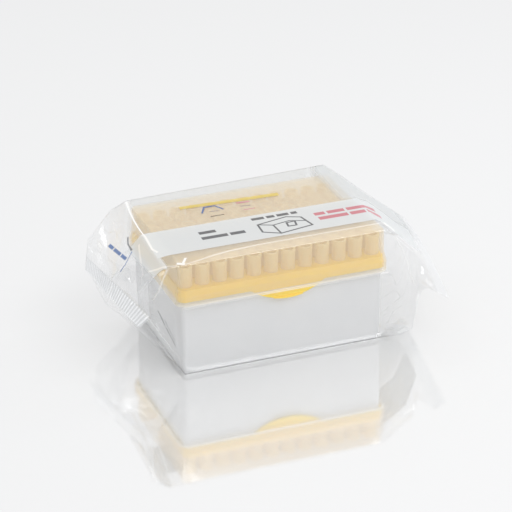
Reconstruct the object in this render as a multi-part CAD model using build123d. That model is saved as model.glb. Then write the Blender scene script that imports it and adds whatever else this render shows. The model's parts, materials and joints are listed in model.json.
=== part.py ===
from build123d import *
from dataclasses import dataclass
from math import atan2, cos, degrees, radians, sin, tan
import os

# A sealed box of pipette tips: a moulded tub, a tray that holds a grid of tips,
# a frosted lid, and a clear film wrap that is crimped shut at both ends.
# Millimetres. +Z is up, +X runs along the box and -Y is its front. The origin
# lies on the surface that the pack stands on, under the centre of the tip grid.
# The tips drive the rest: every shell is placed outwards from them.

# ---------------------------------------------------------------- tip grid
tip_pitch = 9.0
tip_columns = 12
tip_rows = 8

# ---------------------------------------------------------------- one tip
tip_hub_height = 10.6  # from the deck to the open end
tip_hub_diameter = 6.8
tip_collar_diameter = 7.3  # the ring round the open end
tip_collar_height = 2.2
tip_socket_diameter = 5.5  # where the pipette's cone goes in
tip_socket_depth = 12.0
tip_shank_diameter = 5.3  # just under the hub
tip_knee_diameter = 3.3
tip_knee_depth = 20.0  # from the deck to the change of taper
tip_shank_depth = 42.2  # from the deck to the fine end
tip_end_diameter = 1.1
tip_orifice_diameter = 0.5
tip_wall = 0.5
tip_ribs = 6  # round the hub, below the collar
tip_rib_width = 0.6

# ---------------------------------------------------------------- clearances
tip_end_gap = 0.25  # from the outer collars to the lid's end walls
tip_side_gap = 1.55  # from the outer collars to the lid's long walls
tip_head_gap = 2.4  # above the tips
tip_foot_gap = 3.25  # below the tips
tip_hole_gap = 0.15  # round each shank in the deck
skirt_gap = 0.15  # between the tray's skirt and the tub
lid_gap = 0.25  # between the lid and the tray's skirt
film_slack = 0.1  # between the film and what it wraps

# ---------------------------------------------------------------- tub
tub_corner = 2.6  # vertical edges, outside, at the rim
tub_draft_angle = 1.1  # degrees
tub_wall = 1.2
tub_floor = 1.4
tub_foot_height = 3.0
tub_foot_inset = 1.0
tub_rib_width = 1.2
tub_rib_depth = 1.1
columns_per_rib = 3  # along the long walls

# ---------------------------------------------------------------- tray
deck_thickness = 1.6
deck_rib_depth = 4.0
deck_rib_width = 0.9
skirt_wall = 1.0
skirt_drop = 6.2  # from the deck's upper face
skirt_bevel_drop = 3.0
skirt_bevel_inset = 0.8
tab_width = 34.0  # where it comes out below the lid's flange
tab_drop = 5.0  # below the lid's flange
tab_shift = 2.0  # along the flange, from its middle
tab_lip_height = 1.0
tab_lip_depth = 0.7

# ---------------------------------------------------------------- lid
lid_wall = 1.0
lid_draft_angle = 0.8  # degrees
lid_flange_drop = 8.0  # from the deck's upper face
lid_flange_height = 5.4
lid_shoulder_height = 4.4
lid_shoulder_inset = 1.4
lid_top_round = 1.0
lid_seat = 0.4  # how far the lid's ledge reaches over the deck

# ---------------------------------------------------------------- film wrap
film_thickness = 0.15
lap_width = 10.0  # the lengthwise seam, on the back
lap_height = 22.0
seal_depth = 7.0  # the crimped strip at each end
seal_tooth_pitch = 2.0
seal_tooth_height = 0.9
seal_opening = 0.3  # between the outer layers where a strip starts
seal_setback = 0.4
lid_edge_bevel = 0.6  # where the film goes round the lid's rounded top edge
fold_height = 31.8  # where each side panel folds in two beyond the box
# The film hangs loose along the lid's back edge: how far back and how far up it
# stands at each end of the box, and how far behind the lid's middle that starts.
left_standoff = (4.6, 1.0)
right_standoff = (6.2, 2.4)
standoff_start = 16.0
# Beyond the box's ends the film is given by places: how far out from the lid's
# flange, how far behind the middle of the pack (negative is its front half) and
# how high above the ground. First the inner edge of each strip, with the angle
# in degrees that the strip leans down from level there.
left_strip_front, left_front_lean = (12.5, -34.0, 34.0), 35.0
left_strip_middle, left_middle_lean = (19.5, 2.0, 38.0), 62.0
left_strip_back, left_back_lean = (23.5, 34.0, 38.5), 80.0
right_strip_front, right_front_lean = (17.1, -60.1, 33.3), 35.0
right_strip_middle, right_middle_lean = (31.0, 5.3, 35.4), 35.0
right_strip_back, right_back_lean = (36.0, 35.0, 34.0), 35.0
# Then the knees, where the film turns on its way to a strip: near the box, and
# nearer to the strip. At three corners of the pack the side panel's fold is
# tucked in between the top and the bottom panel. At the right front it is spread.
near_share = 0.22  # of the way
far_share = 0.65
left_near_knees = {
    "front_fold": (3.8, -30.7, 33.0),
    "front_lid_edge": (6.5, -38.0, 61.0),
    "top_middle": (4.3, 0.0, 61.0),
    "back_lid_edge": (8.0, 40.5, 59.0),
    "back_fold": (4.1, 31.5, 33.2),
}
left_far_knees = {
    "bottom_middle": (24.0, 0.0, 26.5),
    "front_fold": (12.0, -15.0, 35.5),
    "front_flange_top": (10.5, -25.0, 44.3),
    "front_lid_edge": (15.5, -37.5, 56.0),
    "top_middle": (15.5, 1.0, 48.0),
    "back_lid_edge": (22.0, 36.0, 46.5),
    "back_fold": (12.8, 17.0, 36.0),
    "back_foot": (21.5, 34.0, 25.0),
}
right_near_knees = {
    "front_foot": (0.5, -36.5, 6.0),
    "front_fold": (6.0, -39.2, 36.5),
    "top_middle": (6.0, 0.0, 58.5),
    "back_lid_edge": (7.0, 41.0, 57.5),
    "back_fold": (6.6, 32.2, 32.6),
}
right_far_knees = {
    "bottom_middle": (20.0, -8.0, 20.0),
    "front_foot": (13.0, -39.5, 20.0),
    "front_fold": (14.0, -42.0, 32.3),
    "front_lid_edge": (13.0, -42.0, 47.0),
    "top_middle": (21.0, -5.0, 45.0),
    "back_lid_edge": (24.0, 37.0, 43.0),
    "back_fold": (20.3, 19.0, 34.0),
}

# ---------------------------------------------------------------- derived
tub_base = film_thickness
foot_top = tub_base + tub_foot_height
deck_height = tub_base + tub_floor + tip_foot_gap + tip_shank_depth
deck_underside = deck_height - deck_thickness
bevel_bottom = deck_height - skirt_bevel_drop
skirt_bottom = deck_height - skirt_drop
lid_height = deck_height + tip_hub_height + tip_head_gap + lid_wall
flange_bottom = deck_height - lid_flange_drop
flange_top = flange_bottom + lid_flange_height
shoulder_top = flange_top + lid_shoulder_height
strip_thickness = seal_opening + 2 * film_thickness

# Every outline is the tub's rim, offset in or out.
skirt_offset = skirt_gap + skirt_wall
deck_offset = skirt_offset - skirt_bevel_inset
flange_inside = skirt_offset + lid_gap
flange_offset = flange_inside + lid_wall
shoulder_offset = flange_offset - lid_shoulder_inset
lid_top_offset = shoulder_offset - (lid_height - shoulder_top) * tan(radians(lid_draft_angle))
lid_top_inside = lid_top_offset - lid_wall
body_offset = -(deck_underside - foot_top) * tan(radians(tub_draft_angle))
foot_offset = body_offset - tub_foot_inset

grid_length = (tip_columns - 1) * tip_pitch + tip_collar_diameter
grid_width = (tip_rows - 1) * tip_pitch + tip_collar_diameter
rim_length = grid_length + 2 * (tip_end_gap - lid_top_inside)
rim_width = grid_width + 2 * (tip_side_gap - lid_top_inside)


def outline(offset, height):
    """The rim's rounded outline, offset outwards, as a level face at a height."""
    corner = max(tub_corner + offset, tub_corner / 4)
    face = RectangleRounded(rim_length + 2 * offset, rim_width + 2 * offset, corner).face()
    return Pos(0, 0, height) * face


def stacked(*sections):
    """A solid through level sections, each an (offset, height) pair, from the lowest up."""
    layers = []
    for (low, bottom), (high, top) in zip(sections, sections[1:]):
        if low == high:
            layers.append(extrude(outline(low, bottom), amount=top - bottom))
        else:
            layers.append(loft([outline(low, bottom), outline(high, top)]))
    return Part() + layers


def spaced(count, step):
    """Places along a line, centred on zero."""
    return [(number - (count - 1) / 2) * step for number in range(count)]


def make_base_tub():
    """The drafted tub on its inset foot, with ribs inside that help to carry the deck."""
    floor_top = tub_base + tub_floor
    body = stacked((foot_offset, tub_base), (foot_offset, foot_top))
    body += stacked((body_offset, foot_top), (0, deck_underside))
    inside = stacked((foot_offset - tub_wall, floor_top), (foot_offset - tub_wall, foot_top + tub_wall))
    inside += stacked((body_offset - tub_wall, foot_top + tub_wall), (-tub_wall, deck_underside))
    inner_length = rim_length - 2 * (tub_wall + tub_rib_depth)
    inner_width = rim_width - 2 * (tub_wall + tub_rib_depth)
    rib_height = deck_underside - floor_top
    middle = Pos(0, 0, floor_top + rib_height / 2)
    ribs_apart = columns_per_rib * tip_pitch
    along = [
        Pos(x, 0, 0) * Box(tub_rib_width, rim_width, rib_height)
        for x in spaced(tip_columns // columns_per_rib - 1, ribs_apart)
    ]
    across = Box(rim_length, tub_rib_width, rib_height)
    ribs = middle * (Part() + along + across - Box(inner_length, inner_width, rib_height))
    return body - (inside - ribs)


def make_tip():
    """One hollow tip, standing with its hub's shoulder at z = 0."""
    hub = tip_hub_diameter / 2
    collar = tip_collar_diameter / 2
    socket = tip_socket_diameter / 2
    shank = tip_shank_diameter / 2
    knee = tip_knee_diameter / 2
    collar_bottom = tip_hub_height - tip_collar_height
    profile = Polyline(
        (tip_orifice_diameter / 2, -tip_shank_depth),
        (tip_end_diameter / 2, -tip_shank_depth),
        (knee, -tip_knee_depth),
        (shank, 0),
        (hub, 0),
        (hub, collar_bottom),
        (collar, collar_bottom),
        (collar, tip_hub_height),
        (socket, tip_hub_height),
        (shank - tip_wall, tip_hub_height - tip_socket_depth),
        (knee - tip_wall, -tip_knee_depth),
        close=True,
    )
    turned = revolve(make_face(Plane.XZ * profile), Axis.Z)
    rib_depth = collar - socket
    rib = Pos(socket + rib_depth / 2, 0, collar_bottom / 2) * Box(rib_depth, tip_rib_width, collar_bottom)
    return turned + [Rot(Z=number * 360 / tip_ribs) * rib for number in range(tip_ribs)]


def make_tips_column(x):
    """The row of separate tips that stands across the deck at x."""
    tip = make_tip()
    return Compound([Pos(x, y, deck_height) * tip for y in spaced(tip_rows, tip_pitch)])


def make_tab():
    """The front finger tab: the lower part of a disc, with a lip that flares outwards."""
    half_chord = tab_width / 2
    radius = (half_chord**2 + tab_drop**2) / (2 * tab_drop)
    tab_bottom = flange_bottom - tab_drop
    front = Plane.XZ.offset(rim_width / 2 + skirt_offset)
    disc = Pos(tab_shift, tab_bottom + radius) * Circle(radius)
    tab_height = skirt_bottom - tab_bottom
    tab_band = Pos(0, tab_bottom + tab_height / 2) * Rectangle(rim_length, tab_height)
    lip_band = Pos(0, tab_bottom) * Rectangle(rim_length, 2 * tab_lip_height)
    tab = extrude(front * (disc & tab_band), amount=-skirt_wall)
    return tab + extrude(front * (disc & lip_band), amount=tab_lip_depth)


def make_tip_tray():
    """The holed deck with its ribs, the skirt that drops over the tub, and two finger tabs."""
    tray = stacked((skirt_offset, skirt_bottom), (skirt_offset, bevel_bottom), (deck_offset, deck_height))
    tray -= stacked((skirt_gap, skirt_bottom), (skirt_gap, deck_underside))
    rib_length = rim_length - 2 * (tub_wall + tub_rib_depth + skirt_gap)
    rib_span = rim_width - 2 * (tub_wall + tub_rib_depth + skirt_gap)
    rib_level = deck_underside - deck_rib_depth / 2
    for x in spaced(tip_columns - 1, tip_pitch):
        tray += Pos(x, 0, rib_level) * Box(deck_rib_width, rib_span, deck_rib_depth)
    for y in spaced(tip_rows - 1, tip_pitch):
        tray += Pos(0, y, rib_level) * Box(rib_length, deck_rib_width, deck_rib_depth)
    hole = Cylinder(tip_shank_diameter / 2 + tip_hole_gap, 2 * deck_thickness)
    tray -= [
        Pos(x, y, deck_height - deck_thickness / 2) * hole
        for x in spaced(tip_columns, tip_pitch)
        for y in spaced(tip_rows, tip_pitch)
    ]
    tab = make_tab()
    return tray + tab + tab.mirror(Plane.XZ)


def make_lid():
    """The frosted cover: flange, sloped shoulder and drafted wall, seated on the deck's edge."""
    outside = stacked(
        (flange_offset, flange_bottom),
        (flange_offset, flange_top),
        (shoulder_offset, shoulder_top),
        (lid_top_offset, lid_height),
    )
    outside = fillet(outside.edges().group_by(Axis.Z)[-1], lid_top_round)
    round_tray = stacked(
        (flange_inside, flange_bottom),
        (flange_inside, bevel_bottom),
        (deck_offset + lid_gap, deck_height),
    )
    over_tips = stacked((deck_offset - lid_seat, deck_height), (lid_top_inside, lid_height - lid_wall))
    return outside - round_tray - over_tips


def beyond(side, place):
    """A place beyond an end of the box, from (out from the flange, behind the middle, height)."""
    out, behind, height = place
    return Vector(side * (rim_length / 2 + flange_offset + out), behind, height)


@dataclass
class Seal:
    """One end of the wrap: its crimped strip and its knees.

    side is -1 at the left end and +1 at the right end. The strip's inner edge runs
    straight from its front to its middle and from there to its back. A spread side
    panel has its fold at the strip's end; the others are gathered there.
    """

    side: int
    places: tuple
    leans: tuple
    near_knees: dict
    far_knees: dict
    standoff: tuple
    spread: tuple

    def edge(self):
        """The front, the middle and the back of the strip's inner edge."""
        return [beyond(self.side, place) for place in self.places]

    def frame_at(self, share):
        """The inner edge, its run and the way to the cut edge; share goes from 0 to 2."""
        front, middle, back = self.edge()
        half = 0 if share < 1 else 1
        start, end = self.edge()[half:half + 2]
        run = (back - front if share == 1 else end - start).normalized()
        lean = radians(self.leans[half] + (self.leans[half + 1] - self.leans[half]) * (share - half))
        level = run.cross(Vector(0, 0, 1)).normalized() * self.side
        ahead = level * cos(lean) - Vector(0, 0, 1) * sin(lean)
        outward = (ahead - run * ahead.dot(run)).normalized()
        return start + (end - start) * (share - half), run, outward

    def section(self, share):
        """The strip's four corners at one share of its length."""
        place, run, outward = self.frame_at(share)
        across = run.cross(outward).normalized() * (strip_thickness / 2)
        inner, cut = place - outward * seal_setback, place + outward * seal_depth
        return [inner + across, cut + across, cut - across, inner - across]

    def notch(self, share):
        """The gap between two teeth of the cut edge."""
        place, run, outward = self.frame_at(share)
        cut = place + outward * seal_depth
        half = run * (seal_tooth_pitch * 0.55)
        above = outward * seal_tooth_height * 0.1
        root = cut - outward * seal_tooth_height
        across = run.cross(outward).normalized()
        face = Face(Wire.make_polygon([cut - half + above, cut + half + above, root]))
        return extrude(Pos(*(across * -1)) * face, amount=2, dir=across)

    def strip(self):
        """The crimped strip with its toothed cut edge, reaching a little into the wrap."""
        sections = [self.section(step / 3) for step in range(7)]
        plate = faceted(sections, facets(sections), caps=(sections[0], sections[-1]))
        front, middle, back = self.edge()
        notches = []
        for half, length in enumerate(((middle - front).length, (back - middle).length)):
            teeth = round(length / seal_tooth_pitch)
            notches += [self.notch(half + (step + 0.5) / teeth) for step in range(teeth)]
        return Part() + plate - notches


def profile():
    """The film's corners on one side of the box: (name, offset from the rim, height)."""
    rise = (fold_height - foot_top) / (flange_bottom - foot_top)
    return [
        ("foot", foot_offset, tub_base),
        ("ledge", body_offset, foot_top),
        ("fold", body_offset + (flange_offset - body_offset) * rise, fold_height),
        ("flange_bottom", flange_offset, flange_bottom),
        ("flange_top", flange_offset, flange_top),
        ("lid_side", lid_top_offset, lid_height - lid_edge_bevel),
        ("lid_edge", lid_top_offset - lid_edge_bevel, lid_height),
    ]


def corner_names():
    """The corners' names, from the bottom's middle up the front, over the top and down the back."""
    names = [name for name, offset, height in profile()]
    front = ["front_" + name for name in names]
    back = ["back_" + name for name in reversed(names)]
    return ["bottom_middle", *front, "top_middle", "standoff_start", *back]


def wrapped_ring(seal, skin):
    """The film's corners round one end of the box."""
    grown = film_slack + skin
    end = rim_length / 2 + grown
    ring = {
        "bottom_middle": Vector(seal.side * (end + foot_offset), 0, tub_base - skin),
        "top_middle": Vector(seal.side * (end + lid_top_offset - lid_edge_bevel), 0, lid_height + skin),
    }
    ring["standoff_start"] = ring["top_middle"] + Vector(0, standoff_start, 0)
    for name, offset, height in profile():
        lift = {"foot": -skin, "lid_edge": skin, "lid_side": skin}.get(name, 0)
        x = seal.side * (end + offset)
        y = rim_width / 2 + offset + grown
        loose = Vector(0, *seal.standoff) if name.startswith("lid") else Vector(0, 0, 0)
        ring["front_" + name] = Vector(x, -y, height + lift)
        ring["back_" + name] = Vector(x, y, height + lift) + loose
    return [ring[name] for name in corner_names()]


def distances():
    """How far round the section each corner is, from the bottom's middle."""
    points = [Vector(0, 0, tub_base)]
    points += [Vector(0, -(rim_width / 2 + offset), height) for name, offset, height in profile()]
    points += [Vector(0, 0, lid_height), Vector(0, standoff_start, lid_height)]
    points += [Vector(0, rim_width / 2 + offset, height) for name, offset, height in reversed(profile())]
    total = [0]
    for a, b in zip(points, points[1:] + points[:1]):
        total.append(total[-1] + (b - a).length)
    return total


def sealed_ring(seal):
    """The same corners, brought together along the strip's inner edge."""
    front, middle, back = seal.edge()
    way = dict(zip(corner_names(), distances()))
    ring = {"bottom_middle": middle, "top_middle": middle, "standoff_start": middle}
    for end, spread, which in ((front, seal.spread[0], "front_"), (back, seal.spread[1], "back_")):
        inward = (middle - end).normalized()
        depth = way[which + "lid_edge"] - way[which + "fold"] if spread else 0
        for name, offset, height in profile():
            on_side = name in ("fold", "flange_bottom", "flange_top")
            ring[which + name] = end + inward * (0 if on_side else abs(depth))
    return [ring[name] for name in corner_names()]


def bows(seal):
    """How far each corner stands off the straight way to the strip, at both knees."""
    names, way = corner_names(), distances()
    box, strip = wrapped_ring(seal, film_thickness), sealed_ring(seal)
    known = {}
    for number, name in enumerate(names):
        straight = [box[number] + (strip[number] - box[number]) * share for share in (near_share, far_share)]
        if name in seal.far_knees:
            far = beyond(seal.side, seal.far_knees[name]) - straight[1]
            near = far * (near_share / far_share)
            if name in seal.near_knees:
                near = beyond(seal.side, seal.near_knees[name]) - straight[0]
            known[number] = (near, far)
        elif name.endswith(("_fold", "_foot")):
            known[number] = (Vector(0, 0, 0), Vector(0, 0, 0))
    known[len(names)] = known[0]
    found = []
    for number in range(len(names)):
        low = max(place for place in known if place <= number)
        high = min(place for place in known if place >= number)
        share = (way[number] - way[low]) / (way[high] - way[low]) if high > low else 0
        found.append([a + (b - a) * share for a, b in zip(known[low], known[high])])
    return found


def end_rings(seal):
    """Rings of corners from the box's end out to the strip, through both knees.

    The bevels round the lid's edge and the tub's foot end with the box.
    """
    box, strip = wrapped_ring(seal, film_thickness), sealed_ring(seal)
    rings = [box]
    for knee, share in enumerate((near_share, far_share)):
        way = [a + (b - a) * share + bow[knee] for a, b, bow in zip(box, strip, bows(seal))]
        ring = dict(zip(corner_names(), way))
        for which in ("front_", "back_"):
            ring[which + "lid_side"] = ring[which + "lid_edge"]
            ring[which + "ledge"] = ring[which + "foot"]
        rings.append(list(ring.values()))
    return rings + [strip]


def facets(rings):
    """The flat facets between rings of corners, as (ring, corner) places.

    Where four corners don't lie in one plane, their two facets meet in a ridge.
    """
    found = []
    for step in range(len(rings) - 1):
        for number in range(len(rings[0])):
            before = (number - 1) % len(rings[0])
            places = [(step, before), (step, number), (step + 1, number), (step + 1, before)]
            a, b, c, d = (rings[ring][corner] for ring, corner in places)
            lift = (a + c - b - d).dot((d + c - a - b).cross(b + c - a - d))
            if abs(lift) < 1e-6:
                found.append(places)
            elif lift > 0:
                found += [places[:3], [places[0], *places[2:]]]
            else:
                found += [[*places[:2], places[3]], places[1:]]
    return [facet for facet in (without_repeats(rings, facet) for facet in found) if len(facet) > 2]


def without_repeats(rings, facet):
    """A facet's corners, each of them once where several come together."""
    kept = []
    for ring, corner in facet:
        here = rings[ring][corner]
        if all((here - rings[other][place]).length > 1e-6 for other, place in kept):
            kept.append((ring, corner))
    return kept


def facet_normal(rings, facet):
    """The direction in which a facet looks, away from the pack."""
    a, b, c = (rings[ring][corner] for ring, corner in facet[:3])
    return (c - a).cross(b - a).normalized()


def moved_in(corner, normals):
    """A corner of the film's outside, moved in by the film's thickness from each of its facets."""
    rows = [Vector(0.02, 0, 0), Vector(0, 0.02, 0), Vector(0, 0, 0.02)]
    total = Vector(0, 0, 0)
    for normal in normals:
        rows = [row + normal * share for row, share in zip(rows, normal)]
        total += normal
    first, second, third = rows
    step = second.cross(third) * total.X + third.cross(first) * total.Y + first.cross(second) * total.Z
    return corner - step * (film_thickness / first.dot(second.cross(third)))


def rounded(corner):
    """A corner's place, the same for all corners that come together there."""
    return tuple(round(value, 6) for value in corner)


def hollow(rings, box_rings):
    """The same rings for the film's inside; the rings round the box are given."""
    meeting = {}
    for facet in facets(rings):
        for ring, corner in facet:
            meeting.setdefault(rounded(rings[ring][corner]), []).append(facet_normal(rings, facet))
    inner = {place: moved_in(Vector(*place), normals) for place, normals in meeting.items()}
    return [
        box_rings[number] if number in box_rings else [inner[rounded(corner)] for corner in ring]
        for number, ring in enumerate(rings)
    ]


def faceted(rings, places, caps=()):
    """A closed solid from facets between rings of corners."""
    faces = [Face(Wire.make_polygon([rings[ring][corner] for ring, corner in facet])) for facet in places]
    return Solid(Shell(faces + [Face(Wire.make_polygon(cap)) for cap in caps]))


def make_lap():
    """The lengthwise lap seam: a second layer of film that lies on the back panel."""
    lean = atan2(flange_offset - body_offset, flange_bottom - foot_top)
    grown = film_slack + film_thickness
    y = rim_width / 2 + body_offset + grown + (lap_height - foot_top) * tan(lean)
    strip = Box(rim_length, film_thickness, lap_width)
    return Pos(0, y, lap_height) * Rot(X=-degrees(lean)) * strip


def make_film_wrap():
    """The clear film: a tube round the box that closes to a crimped strip at each end."""
    left = Seal(
        side=-1,
        places=(left_strip_front, left_strip_middle, left_strip_back),
        leans=(left_front_lean, left_middle_lean, left_back_lean),
        near_knees=left_near_knees,
        far_knees=left_far_knees,
        standoff=left_standoff,
        spread=(False, False),
    )
    right = Seal(
        side=1,
        places=(right_strip_front, right_strip_middle, right_strip_back),
        leans=(right_front_lean, right_middle_lean, right_back_lean),
        near_knees=right_near_knees,
        far_knees=right_far_knees,
        standoff=right_standoff,
        spread=(True, False),
    )
    rings = list(reversed(end_rings(left))) + end_rings(right)
    box_rings = {3: wrapped_ring(left, 0), 4: wrapped_ring(right, 0)}
    places = facets(rings)
    outer = faceted(rings, places)
    inner = faceted(hollow(rings, box_rings), places)
    return Part() + [outer, left.strip(), right.strip(), make_lap()] - inner


def main():
    os.makedirs("parts", exist_ok=True)
    pieces = {
        "base_tub": make_base_tub(),
        "tip_tray": make_tip_tray(),
        "lid": make_lid(),
        "film_wrap": make_film_wrap(),
    }
    for number, x in enumerate(spaced(tip_columns, tip_pitch), start=1):
        pieces[f"tips_column_{number:02d}"] = make_tips_column(x)
    for name, piece in pieces.items():
        export_step(piece, f"parts/{name}.step")


if __name__ == "__main__":
    main()
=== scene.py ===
"""Dresses the sealed box of pipette tips: plastic finishes, the clear film wrap and its print."""

import json
import logging
import math
from dataclasses import dataclass, field
from enum import Enum

import bmesh
import bpy
from mathutils import Matrix, Vector

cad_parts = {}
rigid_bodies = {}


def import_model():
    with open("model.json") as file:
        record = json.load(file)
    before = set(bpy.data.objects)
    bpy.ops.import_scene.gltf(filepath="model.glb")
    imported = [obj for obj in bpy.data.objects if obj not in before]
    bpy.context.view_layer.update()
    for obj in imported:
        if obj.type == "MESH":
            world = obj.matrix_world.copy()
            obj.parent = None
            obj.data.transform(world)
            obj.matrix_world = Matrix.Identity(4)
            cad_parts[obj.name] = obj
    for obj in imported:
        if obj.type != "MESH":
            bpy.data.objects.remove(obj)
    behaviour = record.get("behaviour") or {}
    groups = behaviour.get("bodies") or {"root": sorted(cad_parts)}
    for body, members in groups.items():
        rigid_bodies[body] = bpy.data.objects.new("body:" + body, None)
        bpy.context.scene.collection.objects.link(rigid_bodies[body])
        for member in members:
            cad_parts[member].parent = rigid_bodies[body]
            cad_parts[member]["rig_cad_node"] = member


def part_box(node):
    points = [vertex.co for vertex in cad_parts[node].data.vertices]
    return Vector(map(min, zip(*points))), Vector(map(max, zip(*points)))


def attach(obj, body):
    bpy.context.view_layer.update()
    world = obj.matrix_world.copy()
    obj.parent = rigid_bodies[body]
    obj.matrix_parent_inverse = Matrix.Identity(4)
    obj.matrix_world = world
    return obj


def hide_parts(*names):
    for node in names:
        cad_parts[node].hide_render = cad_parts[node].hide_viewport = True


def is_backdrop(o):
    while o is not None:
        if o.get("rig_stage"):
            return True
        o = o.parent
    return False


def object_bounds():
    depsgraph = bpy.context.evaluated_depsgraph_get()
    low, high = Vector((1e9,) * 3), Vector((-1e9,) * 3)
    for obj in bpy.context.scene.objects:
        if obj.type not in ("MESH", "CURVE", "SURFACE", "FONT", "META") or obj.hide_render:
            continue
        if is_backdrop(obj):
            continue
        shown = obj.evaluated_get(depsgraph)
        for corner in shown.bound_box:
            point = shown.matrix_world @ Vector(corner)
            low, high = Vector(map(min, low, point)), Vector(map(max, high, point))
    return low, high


LOG = logging.getLogger("tip_box")
MM = 0.001
ROOT = "root"
CLEAR = (1.0, 1.0, 1.0)
DARK = (0.0, 0.0, 0.0)
PLASTIC_IOR = 1.49
Colour = tuple[float, float, float]
Bow = tuple[float, Vector, Vector]
Row = tuple[str, float, float]


# ---------------------------------------------------------------- shader helpers
class Value:
    """A number socket that can be used in Python expressions."""

    def __init__(self, shader: "Shader", socket: bpy.types.NodeSocket) -> None:
        """Wraps a socket.

        Args:
            shader: the shader that the socket's node belongs to.
            socket: an output socket that carries one number.
        """
        self.shader = shader
        self.socket = socket

    def _math(self, operation: str, *others: "Value | float", first: float | None = None) -> "Value":
        """Adds one Math node.

        Args:
            operation: the Math node's operation.
            others: what follows this value.
            first: a plain number to put before this value.

        Returns:
            The node's result.
        """
        terms = [self, *others] if first is None else [first, self, *others]
        values = {place: term for place, term in enumerate(terms)}
        return self.shader.add("ShaderNodeMath", {"operation": operation}, values).out(0)

    def __add__(self, other: "Value | float") -> "Value":
        """Adds."""
        return self._math("ADD", other)

    __radd__ = __add__

    def __sub__(self, other: "Value | float") -> "Value":
        """Subtracts."""
        return self._math("SUBTRACT", other)

    def __rsub__(self, other: float) -> "Value":
        """Subtracts from a plain number."""
        return self._math("SUBTRACT", first=other)

    def __mul__(self, other: "Value | float") -> "Value":
        """Multiplies."""
        return self._math("MULTIPLY", other)

    __rmul__ = __mul__

    def __truediv__(self, other: "Value | float") -> "Value":
        """Divides."""
        return self._math("DIVIDE", other)

    def __rtruediv__(self, other: float) -> "Value":
        """Divides a plain number."""
        return self._math("DIVIDE", first=other)

    def absolute(self) -> "Value":
        """The distance from zero."""
        return self._math("ABSOLUTE")

    def least(self, other: "Value | float") -> "Value":
        """The smaller of two."""
        return self._math("MINIMUM", other)

    def most(self, other: "Value | float") -> "Value":
        """The larger of two."""
        return self._math("MAXIMUM", other)

    def sine(self) -> "Value":
        """The sine."""
        return self._math("SINE")

    def clamped(self) -> "Value":
        """Held between 0 and 1."""
        return self.most(0.0).least(1.0)

    def above(self, edge: float, soft: float) -> "Value":
        """1 above an edge and 0 below it, over a soft width."""
        return ((self - edge) / soft + 0.5).clamped()

    def below(self, edge: float, soft: float) -> "Value":
        """1 below an edge and 0 above it, over a soft width."""
        return ((edge - self) / soft + 0.5).clamped()


class Placed:
    """A node that has been placed in a shader."""

    def __init__(self, shader: "Shader", node: bpy.types.Node) -> None:
        """Wraps a node.

        Args:
            shader: the shader it is in.
            node: the node.
        """
        self.shader = shader
        self.node = node

    def out(self, name: str | int) -> Value:
        """One of its outputs, as a value."""
        return Value(self.shader, self.node.outputs[name])


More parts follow.
